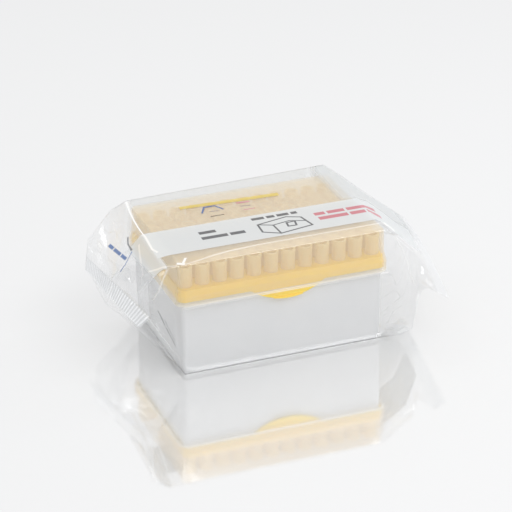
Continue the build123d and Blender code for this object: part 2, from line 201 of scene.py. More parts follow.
class Shader:
    """A material's node tree, with one method that adds any node."""

    def __init__(self, name: str) -> None:
        """Starts an empty material.

        Args:
            name: the material's name.
        """
        self.material = bpy.data.materials.new(name)
        self.material.use_nodes = True
        self.tree = self.material.node_tree
        self.tree.nodes.clear()

    def add(self, kind: str, settings: dict | None = None, values: dict | None = None) -> Placed:
        """Adds a node of any kind.

        Args:
            kind: the node's type.
            settings: its own properties, such as a Math node's operation.
            values: what goes into its sockets, by name or number.

        Returns:
            The node.
        """
        node = self.tree.nodes.new(kind)
        for name, setting in (settings or {}).items():
            setattr(node, name, setting)
        for name, value in (values or {}).items():
            socket = node.inputs[name]
            if isinstance(value, Value):
                self.tree.links.new(value.socket, socket)
            elif isinstance(value, tuple) and socket.type == "RGBA" and len(value) == 3:
                socket.default_value = (*value, 1.0)
            else:
                socket.default_value = value
        return Placed(self, node)

    def place(self) -> Value:
        """The point on the piece, in metres."""
        return self.add("ShaderNodeTexCoord").out("Object")

    def split(self, vector: Value) -> tuple[Value, Value, Value]:
        """A vector's three numbers."""
        node = self.add("ShaderNodeSeparateXYZ", values={0: vector})
        return node.out(0), node.out(1), node.out(2)

    def grain(self, vector: Value, scale: float, detail: float = 2.0) -> Value:
        """Smooth noise from 0 to 1."""
        values = {"Vector": vector, "Scale": scale, "Detail": detail}
        return self.add("ShaderNodeTexNoise", values=values).out("Fac")

    def blend(self, share: Value, low: Value | tuple, high: Value | tuple) -> Value:
        """A colour between two, by a share from 0 to 1."""
        settings = {"data_type": "RGBA", "clamp_factor": True}
        return self.add("ShaderNodeMix", settings, {0: share, 6: low, 7: high}).out(2)

    def over(self, share: Value | float, under: Value, upper: Value) -> Value:
        """One surface laid over another, by a share from 0 to 1."""
        return self.add("ShaderNodeMixShader", values={0: share, 1: under, 2: upper}).out(0)

    def along(self, flat: Value, angle: float, start: tuple[float, float]) -> Value:
        """How far a place lies from a start, along one direction of a flat sheet.

        Args:
            flat: the place on the sheet, in metres.
            angle: the direction, in radians from the sheet's first axis.
            start: the start, in millimetres.

        Returns:
            The distance, in millimetres.
        """
        way = (math.cos(angle) / MM, math.sin(angle) / MM, 0.0)
        reach = self.add("ShaderNodeVectorMath", {"operation": "DOT_PRODUCT"}, {0: flat, 1: way})
        return reach.out("Value") - (start[0] * way[0] + start[1] * way[1]) * MM

    def bar(self, flat: Value, middle: tuple, half: tuple, turn: float, soft: float) -> Value:
        """Where a bar lies on a flat sheet.

        Args:
            flat: the place on the sheet, in metres.
            middle: the bar's middle, in millimetres.
            half: half of its length and half of its width, in millimetres.
            turn: how far its length is turned from the sheet's first axis, in radians.
            soft: the width of its soft edge, in millimetres.

        Returns:
            1 on the bar and 0 off it.
        """
        past_end = self.along(flat, turn, middle).absolute() - half[0]
        past_side = self.along(flat, turn + math.pi / 2, middle).absolute() - half[1]
        settings = {"operation": "MULTIPLY_ADD", "use_clamp": True}
        values = {0: past_end.most(past_side), 1: -1 / soft, 2: 0.5}
        return self.add("ShaderNodeMath", settings, values).out(0)

    def bump(self, height: Value, depth: float, strength: float = 1.0) -> Value:
        """A bumped normal; depth is in metres for a height of 1."""
        values = {"Height": height, "Distance": depth, "Strength": strength}
        return self.add("ShaderNodeBump", values=values).out("Normal")

    def finish(self, surface: Value) -> bpy.types.Material:
        """Connects the surface and hands over the material."""
        self.add("ShaderNodeOutputMaterial", values={"Surface": surface})
        return self.material


# ---------------------------------------------------------------- finishes
@dataclass(frozen=True)
class MouldedPlastic:
    """An opaque or milky moulded plastic, with faint flow marks, a fine skin and a painted glow in its
    own colour.
    """

    name: str
    colour: Colour
    shade: Colour
    roughness: float
    glow: float = 0.0
    painted_glow_share: float = 0.5
    glow_depth: float = 2.0 * MM
    glow_spread: Colour = (1.0, 0.75, 0.45)
    flow_scale: float = 60.0
    flow_roughness: float = 0.12
    skin_scale: float = 2500.0
    skin_depth: float = 0.02 * MM
    skin_strength: float = 0.35

    def build(self) -> bpy.types.Material:
        """Makes the material.

        Returns:
            The material.
        """
        shader = Shader(self.name)
        place = shader.place()
        flow = shader.grain(place, self.flow_scale, 3.0)
        skin = shader.grain(place, self.skin_scale)
        values = {
            "Base Color": shader.blend(flow.above(0.5, 0.5), self.shade, self.colour),
            "Roughness": (self.roughness - self.flow_roughness / 2) + flow * self.flow_roughness,
            "Normal": shader.bump(skin, self.skin_depth, self.skin_strength),
            "Subsurface Weight": self.glow,
            "Subsurface Radius": self.glow_spread,
            "Subsurface Scale": self.glow_depth,
            # painted glow: the plastic gives off light in its own colour, on top of its real translucency
            "Emission Color": self.colour,
            "Emission Strength": self.glow * self.painted_glow_share,
            "IOR": PLASTIC_IOR,
        }
        return shader.finish(shader.add("ShaderNodeBsdfPrincipled", values=values).out(0))


@dataclass(frozen=True)
class FrostedPlastic:
    """A thin see-through moulding, milkier where it is seen edge on, with a painted highlight along its
    low lip.
    """

    name: str
    node: str
    colour: Colour
    haze: float
    edge_haze: float
    roughness: float
    lip: float = 0.8 * MM
    lip_soft: float = 0.2 * MM
    # painted highlight along the low lip: how milky and how cream it is painted
    lip_highlight_share: float = 0.6
    lip_highlight_colour: Colour = (0.99, 0.95, 0.86)
    edge_blend: float = 0.35
    cloud_scale: float = 90.0
    cloud_haze: float = 0.05
    cloud_roughness: float = 0.08
    skin_scale: float = 1400.0
    skin_depth: float = 0.02 * MM
    skin_strength: float = 0.4

    def build(self) -> bpy.types.Material:
        """Makes the material.

        Returns:
            The material.
        """
        shader = Shader(self.name)
        place = shader.place()
        cloud = shader.grain(place, self.cloud_scale, 3.0)
        skin = shader.grain(place, self.skin_scale)
        facing = shader.add("ShaderNodeLayerWeight", values={"Blend": self.edge_blend}).out("Facing")
        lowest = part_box(self.node)[0].z
        # painted highlight: a milkier cream band along the lid's lowest edge
        lip = shader.split(place)[2].below(lowest + self.lip, self.lip_soft)
        haze = self.haze + facing * (self.edge_haze - self.haze) + (cloud - 0.5) * self.cloud_haze
        share = haze.most(lip * self.lip_highlight_share).clamped()
        clear = shader.add("ShaderNodeBsdfTransparent", values={"Color": CLEAR}).out(0)
        values = {
            "Base Color": shader.blend(lip, self.colour, self.lip_highlight_colour),
            "Roughness": self.roughness + cloud * self.cloud_roughness,
            "Normal": shader.bump(skin, self.skin_depth, self.skin_strength),
            "IOR": PLASTIC_IOR,
        }
        milk = shader.add("ShaderNodeBsdfPrincipled", values=values).out(0)
        return shader.finish(shader.over(share, clear, milk))


@dataclass(frozen=True)
class GlossyFloor:
    """The pale polished floor: it takes the pack's shadow and mirrors it faintly."""

    name: str = "studio_floor"
    colour: Colour = (0.875, 0.87, 0.87)
    matt_roughness: float = 0.6
    mirror: float = 0.6
    mirror_colour: Colour = (0.97, 0.97, 0.97)
    mirror_roughness: float = 0.05

    def build(self) -> bpy.types.Material:
        """Makes the material.

        Returns:
            The material.
        """
        shader = Shader(self.name)
        values = {"Base Color": self.colour, "Roughness": self.matt_roughness, "Specular IOR Level": 0.0}
        matt = shader.add("ShaderNodeBsdfPrincipled", values=values).out(0)
        values = {"Base Color": self.mirror_colour, "Roughness": self.mirror_roughness, "Metallic": 1.0}
        polish = shader.add("ShaderNodeBsdfPrincipled", values=values).out(0)
        return shader.finish(shader.over(self.mirror, matt, polish))


# ---------------------------------------------------------------- camera and light
@dataclass(frozen=True)
class Lamp:
    """One soft oblong lamp: where it hangs, its width and height, and its power in watts."""

    name: str
    place: tuple[float, float, float]
    size: tuple[float, float]
    power: float


@dataclass(frozen=True)
class Studio:
    """A pale floor, soft lamps and the camera."""

    target: Vector = Vector((0.0, 0.0, 30 * MM))
    azimuth: float = -20.97
    elevation: float = 26.11
    roll: float = -0.48
    distance: float = 1.2
    lens: float = 166.2
    shift_x: float = -0.0015
    shift_y: float = 0.0342
    world_light: float = 0.76
    world_colour: Colour = (0.97, 0.985, 1.0)
    room_colour: Colour = (0.90, 0.90, 0.905)
    floor_half: float = 6.0
    see_through_layers: int = 32
    lamps: tuple[Lamp, ...] = (
        Lamp("front_softbox", (0.26, -0.42, 0.66), (0.8, 0.25), 2.45),
        Lamp("overhead", (0.0, 0.35, 0.85), (0.8, 0.5), 1.0),
        Lamp("left_window", (-0.8, 0.25, 0.4), (0.05, 0.45), 0.25),
        Lamp("right_window", (0.85, 0.1, 0.35), (0.05, 0.4), 0.5),
    )

    def build(self) -> None:
        """Makes the floor, the world, the lamps and the camera."""
        self._floor()
        self._world()
        for lamp in self.lamps:
            self._hang(lamp)
        self._camera()
        scene = bpy.context.scene
        scene.view_settings.view_transform = "Standard"
        scene.cycles.transparent_max_bounces = self.see_through_layers

    def _floor(self) -> None:
        """Lays a large floor under the pack."""
        mesh = bpy.data.meshes.new("floor")
        shape = bmesh.new()
        bmesh.ops.create_grid(shape, x_segments=1, y_segments=1, size=self.floor_half)
        shape.to_mesh(mesh)
        shape.free()
        floor = bpy.data.objects.new("floor", mesh)
        bpy.context.scene.collection.objects.link(floor)
        mesh.materials.append(GlossyFloor().build())
        floor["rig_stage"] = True

    def _world(self) -> None:
        """Lights the scene evenly; the camera and the glossy surfaces see a pale room."""
        world = bpy.data.worlds.new("studio")
        bpy.context.scene.world = world
        world.use_nodes = True
        tree = world.node_tree
        tree.nodes.clear()
        lit, seen = tree.nodes.new("ShaderNodeBackground"), tree.nodes.new("ShaderNodeBackground")
        lit.inputs["Color"].default_value = (*self.world_colour, 1.0)
        lit.inputs["Strength"].default_value = self.world_light
        seen.inputs["Color"].default_value = (*self.room_colour, 1.0)
        path = tree.nodes.new("ShaderNodeLightPath")
        rays = path.outputs["Is Camera Ray"]
        for name in ("Is Glossy Ray", "Is Transmission Ray"):
            either = tree.nodes.new("ShaderNodeMath")
            either.operation = "MAXIMUM"
            tree.links.new(rays, either.inputs[0])
            tree.links.new(path.outputs[name], either.inputs[1])
            rays = either.outputs[0]
        mix = tree.nodes.new("ShaderNodeMixShader")
        output = tree.nodes.new("ShaderNodeOutputWorld")
        tree.links.new(rays, mix.inputs[0])
        tree.links.new(lit.outputs[0], mix.inputs[1])
        tree.links.new(seen.outputs[0], mix.inputs[2])
        tree.links.new(mix.outputs[0], output.inputs["Surface"])

    def _hang(self, lamp: Lamp) -> None:
        """Hangs one lamp so that it faces the pack.

        Args:
            lamp: the lamp.
        """
        data = bpy.data.lights.new(lamp.name, "AREA")
        data.shape = "RECTANGLE"
        data.size, data.size_y = lamp.size
        data.energy = lamp.power
        hung = bpy.data.objects.new(lamp.name, data)
        hung.location = lamp.place
        hung.rotation_euler = (self.target - Vector(lamp.place)).to_track_quat("-Z", "Y").to_euler()
        bpy.context.scene.collection.objects.link(hung)

    def _camera(self) -> None:
        """Sets the camera at the viewing angle."""
        turn, rise = math.radians(self.azimuth), math.radians(self.elevation)
        level = self.distance * math.cos(rise)
        place = self.target + Vector(
            (level * math.sin(turn), -level * math.cos(turn), self.distance * math.sin(rise))
        )
        data = bpy.data.cameras.new("camera")
        data.lens = self.lens
        data.shift_x = self.shift_x
        data.shift_y = self.shift_y
        data.clip_start = 0.01
        camera = bpy.data.objects.new("camera", data)
        camera.location = place
        facing = (self.target - place).to_track_quat("-Z", "Y").to_matrix().to_4x4()
        camera.rotation_euler = facing.to_euler()
        camera.rotation_euler.rotate_axis("Z", math.radians(self.roll))
        bpy.context.scene.collection.objects.link(camera)
        bpy.context.scene.camera = camera


# ---------------------------------------------------------------- the moulded pieces
@dataclass
class TipRack:
    """The moulded pieces that keep their own solids: the tub, the tray, the tips and the lid."""

    tub: MouldedPlastic = MouldedPlastic(
        "tub_plastic", (0.80, 0.80, 0.80), (0.76, 0.765, 0.77), 0.38, glow=0.0
    )
    tray: MouldedPlastic = MouldedPlastic(
        "tray_plastic", (0.96, 0.69, 0.03), (0.93, 0.64, 0.02), 0.32, glow=0.24
    )
    tips: MouldedPlastic = MouldedPlastic(
        "tip_plastic", (0.95, 0.77, 0.42), (0.91, 0.71, 0.35), 0.3, glow=0.1
    )
    lid: FrostedPlastic = FrostedPlastic("lid_plastic", "lid", (0.98, 0.86, 0.64), 0.18, 0.6, 0.3)

    def dress(self) -> None:
        """Gives each moulded node its finish."""
        finishes = {
            "base_tub": self.tub.build(),
            "tip_tray": self.tray.build(),
            self.lid.node: self.lid.build(),
        }
        tips = self.tips.build()
        for name in frame_nodes():
            if name.startswith("tips_column"):
                finishes[name] = tips
        for name, material in finishes.items():
            node = bpy.data.objects[name]
            node.data.materials.clear()
            node.data.materials.append(material)
            LOG.info("dressed %s with %s", name, material.name)


def frame_nodes() -> list[str]:
    """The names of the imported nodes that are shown."""
    return sorted(name for name in bpy.data.objects.keys() if bpy.data.objects[name].get("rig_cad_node"))


# ---------------------------------------------------------------- the film wrap
FILM_CLOTH = {
    "quality": 6,
    "mass": 0.3,
    "air_damping": 6.0,
    "tension_stiffness": 60.0,
    "compression_stiffness": 60.0,
    "shear_stiffness": 30.0,
    "bending_stiffness": 0.3,
    "tension_damping": 15.0,
    "compression_damping": 15.0,
    "shear_damping": 15.0,
}


class Ink(Enum):
    """The inks of the print, and the near-white of the painted highlights along sharp creases."""

    WHITE = (0.72, 0.74, 0.745)
    YELLOW = (0.70, 0.54, 0.11)
    GREY = (0.10, 0.11, 0.125)
    BLUE = (0.03, 0.12, 0.36)
    PINK = (0.62, 0.25, 0.38)
    RED = (0.62, 0.20, 0.24)
    # painted highlight: the near-white laid along creases where the folded film would catch the lamps
    CREASE = (0.95, 0.94, 0.92)


@dataclass(frozen=True)
class PrintField:
    """One printed field of the film, in flat millimetres from the middle of the top panel."""

    ink: Ink
    left: float
    right: float
    low: float
    high: float
    cover: float = 1.0
    soft: float = 0.35

    def mask(self, shader: Shader, flat: Value) -> Value:
        """Where the field is printed.

        Args:
            shader: the film's shader.
            flat: the place on the flat sheet.

        Returns:
            Its cover inside the field and 0 outside.
        """
        middle = ((self.left + self.right) / 2, (self.low + self.high) / 2)
        half = ((self.right - self.left) / 2, (self.high - self.low) / 2)
        return shader.bar(flat, middle, half, 0.0, self.soft) * self.cover


@dataclass(frozen=True)
class Stroke:
    """A thin line through points in flat millimetres: a printed stroke, or a painted highlight along a
    crease.
    """

    ink: Ink
    points: tuple[tuple[float, float], ...]
    width: float
    cover: float = 0.85
    soft: float = 0.4

    def mask(self, shader: Shader, flat: Value) -> Value:
        """Where the stroke lies.

        Args:
            shader: the film's shader.
            flat: the place on the flat sheet.

        Returns:
            Its cover on the stroke and 0 off it.
        """
        parts = []
        for (x, y), (end_x, end_y) in zip(self.points, self.points[1:]):
            length = math.hypot(end_x - x, end_y - y)
            half = (length / 2 + self.width / 4, self.width / 2)
            turn = math.atan2(end_y - y, end_x - x)
            parts.append(shader.bar(flat, ((x + end_x) / 2, (y + end_y) / 2), half, turn, self.soft))
        whole = parts[0]
        for part in parts[1:]:
            whole = whole.most(part)
        return whole * self.cover


def word_row(
    ink: Ink,
    start: float,
    low: float,
    high: float,
    words: tuple[float, ...],
    gap: float = 1.6,
    cover: float = 0.85,
) -> list[PrintField]:
    """A row of plain bars of several lengths, in the place of a line of small print.

    Args:
        ink: their ink.
        start: where the row starts along the pack, in millimetres.
        low: the bars' nearer edge.
        high: their further edge.
        words: the bars' lengths.
        gap: what is left between two bars.
        cover: how far the ink covers the film.

    Returns:
        The bars.
    """
    bars = []
    for length in words:
        bars.append(PrintField(ink, start, start + length, low, high, cover))
        start += length + gap
    return bars


def highlight_line(width: float, cover: float, *points: tuple[float, float], soft: float = 0.7) -> Stroke:
    """A painted highlight along a crease, through points in flat millimetres."""
    return Stroke(Ink.CREASE, points, width, cover, soft)


@dataclass(frozen=True)
class PrintedFilm:
    """Clear glossy film with fine creases, plain printed fields and crimped strips at its ends, with
    painted highlights along its sharp creases, painted shade and highlight across the crimp ribs and a
    faint painted glow over its loose ends.
    """

    name: str = "clear_film"
    haze: float = 0.15
    edge_haze: float = 0.6
    edge_blend: float = 0.3
    tint: Colour = (0.56, 0.57, 0.58)
    gloss_roughness: float = 0.12
    ink_roughness: float = 0.25
    sheen: float = 0.75
    ior: float = 1.5
    specular: float = 0.6
    bump_depth: float = 0.12 * MM
    bump_strength: float = 0.5
    grain_scale: float = 260.0
    grain_height: float = 0.25
    # painted highlight on the crimp ribs' crests and painted shade in their grooves
    rib_highlight: Colour = (0.95, 0.96, 0.97)
    groove_shade: Colour = (0.66, 0.67, 0.68)
    rib_height: float = 0.5
    crimp_pitch: float = 2.2 * MM
    crimp_haze: float = 0.22
    crimp_soft: float = 0.4 * MM
    saturation: float = 8.0
    loose_from: float = 62 * MM
    loose_soft: float = 8 * MM
    fold_scale: float = 60.0
    fold_squeeze: float = 1.7
    fold_haze: float = 0.35
    fold_width: float = 0.02
    fold_reach: float = 0.12
    fold_height: float = 2.0
    # painted glow: a faint white light given off by the bare loose ends
    painted_end_glow: float = 0.12
    left_seal: float = 97 * MM
    right_seal: float = 100 * MM

    def marks(self) -> list[PrintField | Stroke]:
        """The print.

        Returns:
            The printed fields and strokes.
        """
        white = Ink.WHITE
        return [
            PrintField(white, -54.0, 46.0, 30.0, 60.0, 0.35, 4.0),
            PrintField(white, 47.0, 100.0, 3.0, 60.0, 0.62, 6.0),
            PrintField(white, -63.5, 100.0, -24.6, 3.4, 0.86, 0.6),
            # painted highlight: this whitish field over the left end stands for the film's highlights
            # there, laid in the print's white ink
            PrintField(white, -75.0, -61.0, -38.0, 3.0, 0.72, 2.0),
            Stroke(Ink.YELLOW, ((-31.6, 23.0), (20.0, 20.9)), 2.3, 0.8),
            Stroke(Ink.BLUE, ((-23.4, 15.4), (-20.3, 20.2), (-14.6, 20.2), (-11.7, 16.3)), 0.9),
            Stroke(Ink.BLUE, ((-19.0, 15.8), (-14.5, 15.4)), 1.1, 0.3),
            Stroke(Ink.GREY, ((-20.4, 10.1), (-13.7, 10.0)), 1.0, 0.7),
            Stroke(Ink.PINK, ((-3.1, 19.3), (3.5, 18.9)), 0.9, 0.75),
            Stroke(Ink.BLUE, ((-2.0, 16.0), (2.6, 15.6)), 1.1, 0.3),
            Stroke(Ink.PINK, ((-2.1, 11.7), (3.5, 11.5)), 0.8, 0.75),
            *word_row(Ink.GREY, -33.0, -8.0, -5.3, (8.6,)),
            *word_row(Ink.GREY, -33.6, -14.2, -11.4, (13.4, 7.6)),
            *word_row(Ink.GREY, -3.0, -2.4, 0.0, (6.4, 4.0, 6.0, 3.0)),
            *self.pictogram(Ink.GREY),
            *word_row(Ink.RED, 28.6, -8.6, -5.6, (5.4, 9.0, 18.5)),
            *word_row(Ink.RED, 29.0, -14.2, -11.0, (15.5, 8.0, 11.0)),
            Stroke(Ink.GREY, ((-68.6, 10.2), (-71.4, 6.0), (-72.9, 0.5)), 0.9, 0.8),
            Stroke(Ink.BLUE, ((-73.6, -1.0), (-81.4, -4.3), (-87.0, -2.4)), 0.7),
            Stroke(Ink.BLUE, ((-77.6, 17.6), (-77.8, 13.6)), 1.9),
            Stroke(Ink.BLUE, ((-77.9, 11.8), (-78.2, 5.6)), 1.9),
            Stroke(Ink.BLUE, ((-78.3, 3.8), (-78.5, -0.6)), 1.9),
            Stroke(Ink.GREY, ((-69.2, -69.0), (-66.2, -76.4)), 1.0, 0.5),
            Stroke(Ink.GREY, ((-65.6, -77.8), (-61.3, -86.6)), 1.0, 0.5),
            Stroke(Ink.GREY, ((-65.4, -72.6), (-60.4, -83.2)), 0.8, 0.35),
        ]

    def pictogram(self, ink: Ink) -> list[Stroke]:
        """A small line drawing of a box with a square on its lid.

        Args:
            ink: its ink.

        Returns:
            Its strokes.
        """
        front_left, foot_left, foot, foot_right = (-2.4, -8.0), (-3.1, -16.9), (5.0, -21.5), (23.1, -18.0)
        right, back, near = (21.1, -7.3), (14.2, -4.3), (4.7, -11.2)
        square = ((11.9, -11.0), (11.3, -15.2), (15.6, -15.4), (16.5, -10.6), (11.9, -11.0))
        return [
            Stroke(ink, (front_left, foot_left, foot, foot_right, right), 0.7),
            Stroke(ink, (right, back, front_left, near, foot), 0.6),
            Stroke(ink, (near, (14.0, -9.2), (21.8, -12.2), right), 0.5),
            Stroke(ink, square, 0.7),
        ]

    def highlight_lines(self) -> list[Stroke]:
        """Painted highlights along the sharp creases, where the film is folded over the lid's edges and
        round the ends.

        Returns:
            The painted highlights, as near-white strokes.
        """
        right_corner = (55.0, -32.4)
        return [
            highlight_line(1.2, 0.9, (-55.0, 37.0), (-58.1, 21.5), (-61.3, 2.4), (-62.8, -14.0), (-60.9, -18.2)),
            highlight_line(0.8, 0.7, (-75.1, -26.7), (-68.7, -31.2), (-61.9, -34.6), (-55.5, -37.2)),
            highlight_line(2.4, 0.85, (-54.2, -35.0), (-51.6, -36.6)),
            highlight_line(1.5, 0.85, (-52.2, -36.4), (-48.8, -31.2)),
            highlight_line(0.8, 0.6, (-51.0, -37.0), (-35.0, -34.2), (-11.0, -32.8), (40.0, -32.6), right_corner),
            highlight_line(1.0, 0.8, right_corner, (61.0, -28.0)),
            highlight_line(2.2, 0.85, (61.0, -28.0), (66.5, -20.0), (72.0, -21.5)),
            highlight_line(1.6, 0.5, (-61.8, -38.7), (-67.5, -51.6), (-71.7, -61.1)),
            highlight_line(1.8, 0.8, (-80.0, 25.6), (-81.3, 21.4), (-84.0, 20.2)),
            highlight_line(0.8, 0.4, (-68.0, -2.3), (-73.7, -15.2), (-79.1, -25.0), (-85.6, -25.0)),
            highlight_line(0.6, 0.35, (-67.2, 28.5), (-70.2, 21.0), (-76.0, 10.0)),
            highlight_line(0.8, 0.7, (-68.0, -117.0), (-61.0, -110.2), (-57.5, -100.5)),
            highlight_line(0.7, 0.45, (-52.0, -60.5), (54.0, -60.5)),
            highlight_line(0.8, 0.6, (-12.0, -60.4), (17.0, -60.4)),
            highlight_line(0.8, 0.8, (58.0, 42.0), (61.5, 37.6), (67.3, 29.7), (73.4, 28.2), (80.6, 28.0)),
            highlight_line(0.7, 0.5, (65.0, -38.0), (69.9, -44.1), (76.9, -62.5), (84.1, -68.4)),
        ]

    def build(self) -> bpy.types.Material:
        """Makes the material.

        Returns:
            The material.
        """
        shader = Shader(self.name)
        flat = shader.add("ShaderNodeUVMap", {"uv_map": "flat"}).out(0)
        along, around, _ = shader.split(flat)
        right_strip = along.above(self.right_seal, self.crimp_soft)
        seal = right_strip.most(along.below(-self.left_seal, self.crimp_soft))
        ribs = (around * (2 * math.pi / self.crimp_pitch)).sine() * seal
        # painted shade and highlight: the crimp ribs are coloured light on their crests and dark in their
        # grooves
        colour = shader.blend(ribs.above(0.1, 0.8), shader.blend(seal, self.tint, self.groove_shade), self.rib_highlight)
        # the print and the painted highlight lines are laid on together, as inks
        print_and_highlights: Value | float = 0.0
        for ink in Ink:
            mask = self._inked(shader, flat, ink)
            print_and_highlights = mask.most(print_and_highlights)
            colour = shader.blend((mask * self.saturation).clamped(), colour, ink.value)
        bare = (print_and_highlights * self.saturation).below(0.5, 1.0)
        ends = along.absolute().above(self.loose_from, self.loose_soft)
        fine = shader.grain(shader.place(), self.grain_scale, 3.0)
        folds = self._folds(shader, flat)
        height = fine * self.grain_height + ribs * self.rib_height
        height = height + folds.least(self.fold_reach) * ends * self.fold_height
        lines = folds.below(self.fold_width, 0.03) * ends * (fine.above(0.5, 0.2) * self.fold_haze)
        facing = shader.add("ShaderNodeLayerWeight", values={"Blend": self.edge_blend}).out("Facing")
        edge = facing * facing * (self.edge_haze - self.haze)
        share = (self.haze + edge + seal * self.crimp_haze + lines).most(print_and_highlights).clamped()
        clear = shader.add("ShaderNodeBsdfTransparent", values={"Color": CLEAR}).out(0)
        values = {
            # painted glow: the bare loose ends of the film give off a faint white light
            "Base Color": colour,
            "Emission Color": shader.blend(bare * ends, DARK, CLEAR),
            "Emission Strength": self.painted_end_glow,
            "Roughness": self.gloss_roughness + print_and_highlights * self.ink_roughness,
            "Metallic": bare * self.sheen,
            "Normal": shader.bump(height, self.bump_depth, self.bump_strength),
            "IOR": self.ior,
            "Specular IOR Level": self.specular,
        }
        gloss = shader.add("ShaderNodeBsdfPrincipled", values=values).out(0)
        return shader.finish(shader.over(share, clear, gloss))

    def _inked(self, shader: Shader, flat: Value, ink: Ink) -> Value:
        """Where an ink lies on the flat sheet: its fields and strokes together.

        Args:
            shader: the film's shader.
            flat: the place on the flat sheet.
            ink: the ink.

        Returns:
            Its cover, from 0 to 1.
        """
        marks = [mark for mark in [*self.marks(), *self.highlight_lines()] if mark.ink is ink]
        whole = marks[0].mask(shader, flat)
        for mark in marks[1:]:
            whole = whole.most(mark.mask(shader, flat))
        return whole

    def _folds(self, shader: Shader, flat: Value) -> Value:
        """How far a place is from the nearest fine fold of the loose ends.

        Args:
            shader: the film's shader.
            flat: the place on the flat sheet.

        Returns:
            The distance, in shares of a cell.
        """
        squeeze = {"Vector": flat, "Scale": (1.0, self.fold_squeeze, 1.0)}
        bent = shader.add("ShaderNodeMapping", values=squeeze).out(0)
        cells = {"Vector": bent, "Scale": self.fold_scale, "Randomness": 1.0}
        folds = shader.add("ShaderNodeTexVoronoi", {"feature": "DISTANCE_TO_EDGE"}, cells)
        return folds.out("Distance")


@dataclass(frozen=True)
class Station:
    """A place on a crimped strip's inner edge, and how far the strip leans down there, in degrees."""

    place: Vector
    lean: float


@dataclass(frozen=True)
class Way:
    """Where the film passes between the box and a strip; without points it goes straight."""

    near: Vector | None = None
    far: Vector | None = None


@dataclass(frozen=True)
class SealedEnd:
    """One end of the wrap, where the tube of film is pressed flat and crimped.

    The stations run from the strip's front end to its back end. The ways go round the box's end: the
    bottom's middle, the front foot, the front fold, the top's front corner, the top's middle, the top's
    back corner, the back fold and the back foot.
    """

    side: int
    front: Station
    middle: Station
    back: Station
    front_reach: float | None
    ways: tuple[Way, ...]
    near_share: float = 0.22
    far_share: float = 0.65
    length_steps: int = 24
    run_step: float = 0.02
    hanging: float = -0.98

    def length(self) -> float:
        """The strip's length from its front end to its back end."""
        points = [self.centre(step / self.length_steps) for step in range(self.length_steps + 1)]
        return sum((b - a).length for a, b in zip(points, points[1:]))

    def _mixed(self, share: float, front: object, middle: object, back: object) -> object:
        """A smooth curve through three values.

        Args:
            share: the share of the way from front to back.
            front: the value at the front.
            middle: the value halfway.
            back: the value at the back.

        Returns:
            The value there.
        """
        first = (1 - share) * (1 - 2 * share)
        second = 4 * share * (1 - share)
        third = share * (2 * share - 1)
        return front * first + middle * second + back * third

    def centre(self, share: float) -> Vector:
        """A point on the strip's inner edge, at a share of the way from front to back."""
        return self._mixed(share, self.front.place, self.middle.place, self.back.place)

    def run(self, share: float) -> Vector:
        """The direction of the strip's inner edge, from front to back."""
        ahead = self.centre(min(share + self.run_step, 1.0))
        return (ahead - self.centre(max(share - self.run_step, 0.0))).normalized()

    def outward(self, share: float) -> Vector:
        """The direction from the strip's inner edge to its cut edge.

        Args:
            share: the share of the way from front to back.

        Returns:
            A step of length 1.
        """
        run = self.run(share)
        level = Vector((run.y, -run.x, 0.0)).normalized() * self.side
        lean = math.radians(self._mixed(share, self.front.lean, self.middle.lean, self.back.lean))
        ahead = level * math.cos(lean) - Vector((0.0, 0.0, 1.0)) * math.sin(lean)
        return (ahead - run * ahead.dot(run)).normalized()

    def normal(self, share: float) -> Vector:
        """The strip's upper face, or its outer face where it hangs straight down."""
        outward = self.outward(share)
        face = self.run(share).cross(outward).normalized()
        return face if face.z > 0 or outward.z < self.hanging else -face


